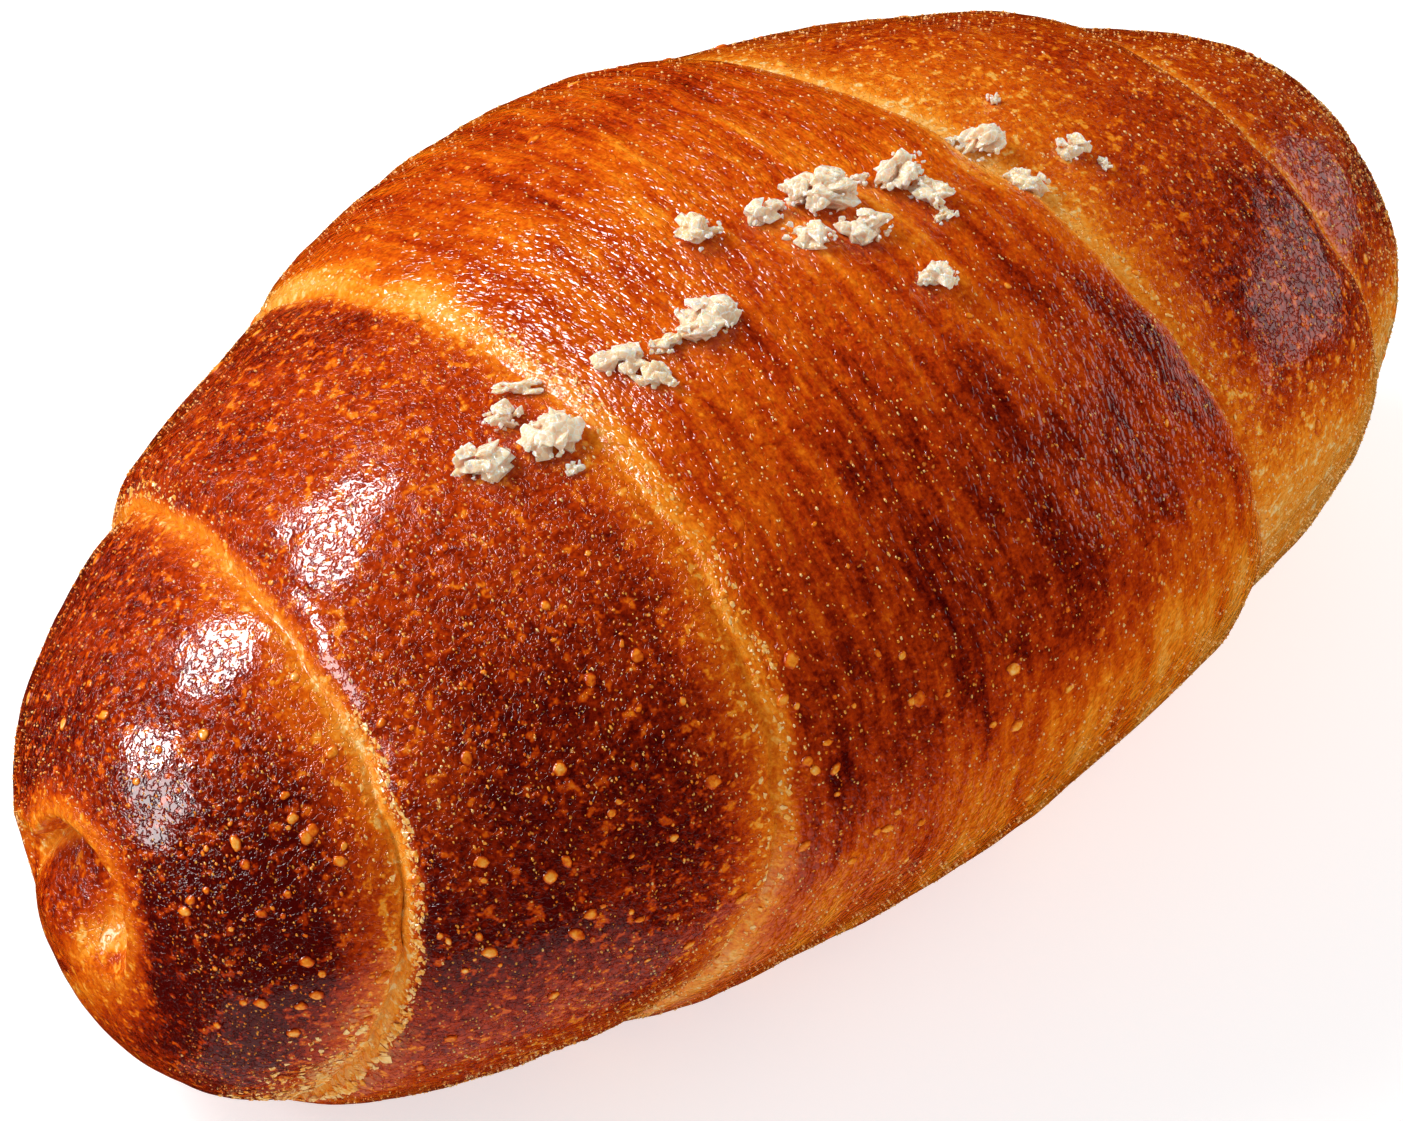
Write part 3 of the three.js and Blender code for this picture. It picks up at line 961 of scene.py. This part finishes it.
flakes.data.materials.append(blister_material)

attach(flakes, "root")
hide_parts("roll")


# Coarse salt: lumps of white crystals, pressed onto the ridge by hand before baking.
# Each is a core with smaller crystals and splinters grown on it, milky, with its edges painted
# whiter as a highlight.
# Place along and across the ridge, length and width of each lump.
SALT = (
    (6.7, -3.9, 5.6, 4),
    (-27, -5.8, 4.8, 3.6),
    (-7.6, -8.2, 4.7, 3.6),
    (-22, -7.6, 4.6, 3.6),
    (7.6, -8.2, 4.4, 3),
    (13.8, -4.6, 4.2, 3),
    (22.5, -3.9, 4, 3),
    (-14.7, -6.6, 3.9, 2.8),
    (23, -8.1, 3.9, 2.6),
    (3.5, -6.6, 3.9, 2.2),
    (14.6, -7.4, 3.8, 2.6),
    (-13.8, -9.3, 3.8, 2.5),
    (-20.9, -2.5, 3.8, 1.4),
    (-3, -1.5, 3.5, 3.1),
    (2.3, -2.8, 3.2, 2.2),
    (-23.4, -3.7, 3, 2.3),
    (-11.1, -7.7, 3, 2.1),
    (9.6, -14.2, 2.9, 2.6),
    (29, -7, 2.5, 2.4),
    (14.3, -9.6, 2, 1.4),
    (10.8, -3.7, 1.7, 1.2),
    (-22.1, -10.6, 1.6, 1.2),
    (21, -2, 1.6, 1.2),
    (30.5, -8.9, 1.4, 1.2),
    (27.1, 0.1, 1.3, 1.2),
)
SALT_SEED = 11
SALT_TALL = 0.8
SALT_SPREAD = 1.15
SALT_TURN = (-37, 25)
SALT_SUNK = 0.22
CRYSTALS_LEAST = 5
CRYSTALS_PER_AREA = 0.6
CRYSTAL_SHARE = (0.38, 0.6)
CRYSTAL_CORNERS = 9
CRYSTAL_SQUASH = (0.75, 1.25)
CRYSTAL_REACH = 1.04
SPLINTERS_LEAST = 6
SPLINTERS_PER_AREA = 1.2
SPLINTER_RADIUS = (0.16, 0.34)
SPLINTER_MOST = 0.25
SPLINTER_SQUASH = (0.7, 1.3)
SPLINTER_REACH = (0.9, 0.9, 0.6)
SALT_VOXEL = 0.07
SALT_FACETS = 0.25
SALT_SHARP = 22

random = np.random.default_rng(SALT_SEED)
salt_groups = []
lump_middles = []
lump_sizes = []
for x, y, length, width in SALT:
    tall = SALT_TALL * width
    half_sizes = np.array((length, width, tall)) / 2 * SALT_SPREAD
    turn = np.array(Matrix.Rotation(math.radians(random.normal(*SALT_TURN)), 3, "Z"))
    above = Vector((x, y, 2 * HEIGHT)) * MM
    spot = crust_surface.ray_cast(above, Vector((0, 0, -1)))[0]
    middle = np.array(spot) / MM + (0, 0, tall * (0.5 - SALT_SUNK))
    lump_middles.append(middle)
    lump_sizes.append(half_sizes.mean())
    crystals = [on_ball(CRYSTAL_CORNERS) * half_sizes * CRYSTAL_SHARE[1]]
    for direction in on_ball(int(CRYSTALS_LEAST + CRYSTALS_PER_AREA * length * width)):
        share = random.uniform(*CRYSTAL_SHARE)
        squash = random.uniform(*CRYSTAL_SQUASH, 3)
        outwards = direction * (CRYSTAL_REACH - share)
        crystals.append((on_ball(CRYSTAL_CORNERS) * share * squash + outwards) * half_sizes)
    for direction in on_ball(int(SPLINTERS_LEAST + SPLINTERS_PER_AREA * length * width)):
        radius = min(random.uniform(*SPLINTER_RADIUS), SPLINTER_MOST * width)
        squash = random.uniform(*SPLINTER_SQUASH, 3)
        outwards = direction * half_sizes * SPLINTER_REACH
        crystals.append(on_ball(CRYSTAL_CORNERS) * radius * squash + outwards)
    spread = np.abs(np.concatenate(crystals)).max(axis=0)
    for corners in crystals:
        points, faces = chip_hull(corners * (half_sizes / spread) @ turn.T + middle)
        salt_groups.append((points * MM, faces))
salt = join_arrays("salt", salt_groups)
bpy.ops.object.select_all(action="DESELECT")
salt.select_set(True)
bpy.context.view_layer.objects.active = salt
fuse = salt.modifiers.new("grown together", "REMESH")
fuse.mode = "VOXEL"
fuse.voxel_size = SALT_VOXEL * MM
bpy.ops.object.modifier_apply(modifier="grown together")
broken = salt.modifiers.new("broken faces", "DECIMATE")
broken.ratio = SALT_FACETS
bpy.ops.object.modifier_apply(modifier="broken faces")
bpy.ops.object.shade_smooth_by_angle(angle=math.radians(SALT_SHARP))

# Edges and corners of the crystals are painted whiter as a highlight, and the grooves and the foot
# of each lump are painted peach as the crust's light glowing through the salt. How far a vertex
# stands out over its neighbours tells an edge from a face.
HIGHLIGHT_STANDS_OUT = (0.05, 0.3)
GROOVE_LIES_IN = (0, 0.3)
GLOW_FOOT_RISE = (-0.5, 0.3)
salt_points = read_rows(salt.data.vertices, "co") / MM
salt_normals = read_rows(salt.data.vertex_normals, "vector")
salt_edges = read_rows(salt.data.edges, "vertices", 2, int)
starts, ends = np.concatenate([salt_edges, salt_edges[:, ::-1]]).T
steps = salt_points[ends] - salt_points[starts]
falls = -(steps * salt_normals[starts]).sum(axis=1) / np.linalg.norm(steps, axis=1)
neighbours = np.bincount(starts, minlength=len(salt_points))
standing_out = np.bincount(starts, falls, len(salt_points)) / neighbours
lump_middles = np.array(lump_middles)
lump_sizes = np.array(lump_sizes)
from_lumps = np.linalg.norm(salt_points[None] - lump_middles[:, None], axis=2)
own_lump = np.argmin(from_lumps / lump_sizes[:, None], axis=0)
own_rise = (salt_points - lump_middles[own_lump])[:, 2] / lump_sizes[own_lump]
# The rim attribute marks edges for a painted highlight; the groove and foot attributes mark painted
# glow.
set_attribute(salt.data, "rim", smoothstep(standing_out, *HIGHLIGHT_STANDS_OUT))
set_attribute(salt.data, "groove_glow", smoothstep(-standing_out, *GROOVE_LIES_IN))
set_attribute(salt.data, "foot", 1 - smoothstep(own_rise, *GLOW_FOOT_RISE))
set_attribute(salt.data, "warm", random.random(len(SALT))[own_lump] ** 2)

SALT_WHITE_AND_HIGHLIGHT = (1.0, 0.9, 0.79, 1)
SALT_BEIGE = (1.0, 0.72, 0.49, 1)
SALT_HONEY = (1.0, 0.66, 0.33, 1)
SALT_PAINTED_GLOW = (1.0, 0.54, 0.24, 1)
SALT_CLOUDS, SALT_CLOUDY = 900, 1.2
SALT_FACES, FACE_EDGE, FACE_EDGE_HIGHLIGHT, FACE_RELIEF = 2000, 0.12, 0.9, -0.2
HONEY_SHOWS, PAINTED_GLOW_SHOWS = 0.8, 0.5
SALT_ROUGHNESS = 0.15
SALT_IOR = 1.5
SALT_MILKY = (1.0, 0.8, 0.6)
SALT_MILKY_DEPTH = 0.5
salt_material, tree, shader = new_material("coarse salt")
place = object_place(tree)
warm = calculate(tree, "MULTIPLY", attribute(tree, "warm"), HONEY_SHOWS)
colour = mix_colours(tree, warm, SALT_BEIGE, SALT_HONEY)
# Cell edges on the crystal faces are painted white as highlights, on top of a random milky
# cloudiness.
from_edge = cells(tree, place, SALT_FACES, "DISTANCE_TO_EDGE")["Distance"]
face_edge_highlight = remap(tree, from_edge, 0.0, FACE_EDGE, FACE_EDGE_HIGHLIGHT, 0.0)
whiteness_and_highlight = vary(tree, attribute(tree, "rim"), noise(tree, place, SALT_CLOUDS, 3), SALT_CLOUDY)
whiteness_and_highlight = calculate(tree, "ADD", whiteness_and_highlight, face_edge_highlight, clamp=True)
colour = mix_colours(tree, whiteness_and_highlight, colour, SALT_WHITE_AND_HIGHLIGHT)
# Grooves and the foot of each lump are painted peach: a painted glow of the crust's light through
# the salt.
for name in ("groove_glow", "foot"):
    share = calculate(tree, "MULTIPLY", attribute(tree, name), PAINTED_GLOW_SHOWS)
    colour = mix_colours(tree, share, colour, SALT_PAINTED_GLOW)
from_middle = cells(tree, place, SALT_FACES)["Distance"]
hollows = calculate(tree, "MULTIPLY", from_middle, from_middle)
tree.links.new(colour, shader.inputs["Base Color"])
tree.links.new(relief_normal(tree, hollows, FACE_RELIEF), shader.inputs["Normal"])
shader.inputs["Roughness"].default_value = SALT_ROUGHNESS
shader.inputs["IOR"].default_value = SALT_IOR
shader.inputs["Subsurface Weight"].default_value = 1.0
shader.inputs["Subsurface Radius"].default_value = SALT_MILKY
shader.inputs["Subsurface Scale"].default_value = SALT_MILKY_DEPTH * MM
salt.data.materials.append(salt_material)

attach(salt, "root")
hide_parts("roll")


# The studio: a plain near-white floor, a large soft light behind and to the left, smaller ones
# beside the ends, sheens that only shine in the glaze, and an even pale surround.
FLOOR_SIZE = 8
FLOOR_GREY = 0.62
FLOOR_ROUGHNESS = 0.8
FLOOR_GLOW = 0.61
bpy.ops.object.select_all(action="DESELECT")
bpy.ops.mesh.primitive_plane_add(size=FLOOR_SIZE)
floor = bpy.context.object
floor.name = "floor"
floor_material, tree, shader = new_material("pale floor")
shader.inputs["Base Color"].default_value = (FLOOR_GREY, FLOOR_GREY, FLOOR_GREY, 1)
shader.inputs["Roughness"].default_value = FLOOR_ROUGHNESS
shader.inputs["Specular IOR Level"].default_value = 0.0
shader.inputs["Emission Color"].default_value = (1, 1, 1, 1)
shader.inputs["Emission Strength"].default_value = FLOOR_GLOW
floor.data.materials.append(floor_material)
floor.visible_glossy = False

LOAF_MIDDLE = Vector((0, 0, HEIGHT / 2)) * MM
PLAIN_LIGHT = (1, 1, 1)
WARM_LIGHT = (1, 0.98, 0.95)
COOL_LIGHT = (0.97, 0.98, 1)
# Each lamp's name, direction, distance and size in metres, watts and colour.
LAMPS = (
    ("key light", (-0.35, 0.6, 0.72), 0.5, (0.29, 0.24), 2.2, WARM_LIGHT),
    ("key sheen", (-0.34, 0.49, 0.78), 0.48, (0.17, 0.14), 1.3, PLAIN_LIGHT),
    ("end light", (-0.76, 0.47, 0.44), 0.5, (0.1, 0.1), 0.5, PLAIN_LIGHT),
    ("end sheen", (-0.79, 0.35, 0.47), 0.49, (0.1, 0.12), 0.8, PLAIN_LIGHT),
    ("fill light", (0.8, -0.3, 0.5), 0.6, (0.3, 0.3), 0.75, COOL_LIGHT),
    ("side sheen", (0.985, -0.16, -0.04), 0.6, (0.36, 0.2), 0.24, PLAIN_LIGHT),
    ("table sheen", (-0.35, -0.35, -0.9), 0.35, (0.35, 0.35), 0.08, PLAIN_LIGHT),
    ("left sheen", (-0.87, 0.21, 0.3), 0.5, (0.14, 0.14), 0.45, PLAIN_LIGHT),
)
for name, towards, distance, size, watts, colour in LAMPS:
    light = bpy.data.lights.new(name, "AREA")
    light.shape = "RECTANGLE"
    light.size, light.size_y = size
    light.energy = watts
    light.color = colour
    lamp = bpy.data.objects.new(name, light)
    bpy.context.scene.collection.objects.link(lamp)
    direction = Vector(towards).normalized()
    lamp.location = LOAF_MIDDLE + direction * distance
    lamp.rotation_euler = direction.to_track_quat("Z", "Y").to_euler()
    lamp.visible_camera = False
    lamp.visible_diffuse = not name.endswith("sheen")
    lamp.visible_glossy = name.endswith("sheen")

SURROUND_COLOUR = (0.95, 0.97, 1, 1)
SURROUND_STRENGTH = 0.5
world = bpy.data.worlds.new("pale surround")
world.use_nodes = True
background = world.node_tree.nodes["Background"]
background.inputs["Color"].default_value = SURROUND_COLOUR
background.inputs["Strength"].default_value = SURROUND_STRENGTH
world.cycles_visibility.glossy = False
bpy.context.scene.world = world
bpy.context.scene.view_settings.view_transform = "Standard"

CAMERA_AIM = Vector((-2.7, 0.41, 22.76)) * MM
CAMERA_DISTANCE = 710.6 * MM
CAMERA_AZIMUTH = math.radians(-37.0)
CAMERA_ELEVATION = math.radians(46.2)
CAMERA_ROLL = math.radians(-2.79)
CAMERA_LENS = 235.53
CAMERA_SENSOR = 36
backwards = Vector(
    (
        math.sin(CAMERA_AZIMUTH) * math.cos(CAMERA_ELEVATION),
        -math.cos(CAMERA_AZIMUTH) * math.cos(CAMERA_ELEVATION),
        math.sin(CAMERA_ELEVATION),
    )
)
level_right = Vector((math.cos(CAMERA_AZIMUTH), math.sin(CAMERA_AZIMUTH), 0))
level_up = backwards.cross(level_right)
right = level_right * math.cos(CAMERA_ROLL) + level_up * math.sin(CAMERA_ROLL)
upwards = backwards.cross(right)
camera_data = bpy.data.cameras.new("camera")
camera_data.lens = CAMERA_LENS
camera_data.sensor_fit = "HORIZONTAL"
camera_data.sensor_width = CAMERA_SENSOR
camera = bpy.data.objects.new("camera", camera_data)
bpy.context.scene.collection.objects.link(camera)
turned = Matrix((right, upwards, backwards)).transposed().to_4x4()
camera.matrix_world = Matrix.Translation(CAMERA_AIM + backwards * CAMERA_DISTANCE) @ turned
bpy.context.scene.camera = camera
